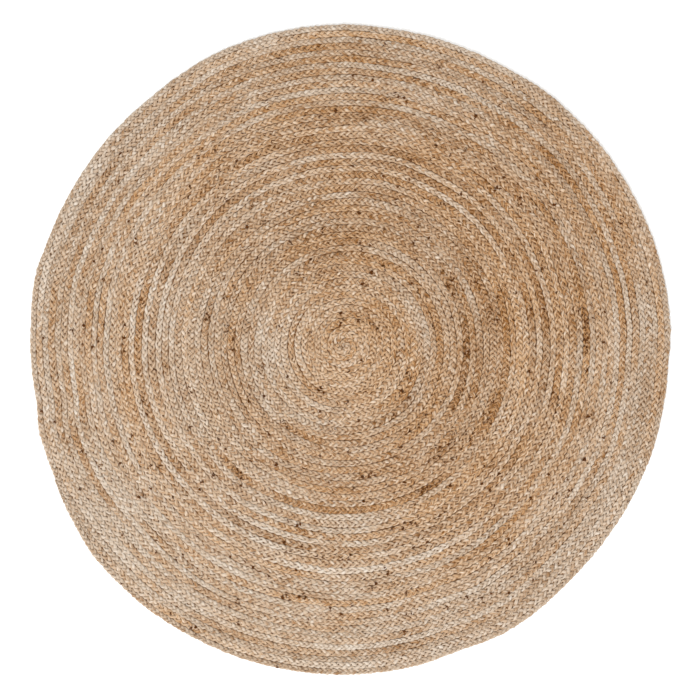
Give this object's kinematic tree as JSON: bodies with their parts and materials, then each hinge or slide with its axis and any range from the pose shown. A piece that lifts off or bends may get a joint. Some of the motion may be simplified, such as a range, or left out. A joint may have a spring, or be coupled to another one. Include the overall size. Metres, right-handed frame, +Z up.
{
  "type": "round braided jute rug",
  "caption": "Round floor rug: two flat jute braids, one golden and one paler, wound together into a double spiral and sewn edge to edge, with raised rows and an uneven hand-sewn outline.",
  "frame": {"origin": "under the middle of the rug's box, on the floor", "axes": "+Z up through the rug's thickness; +Y and +X span the floor, and seen from above with +Y up the braids wind outward clockwise and end towards -X -Y"},
  "size_m": [1.4868, 1.512, 0.01],
  "materials": {
    "jute": "matt, dry, coarse plaited plant fibre in golden brown, paler and greyer on every other row"
  },
  "bodies": {
    "root": {"braided_coil": "jute"}
  },
  "joints": []
}
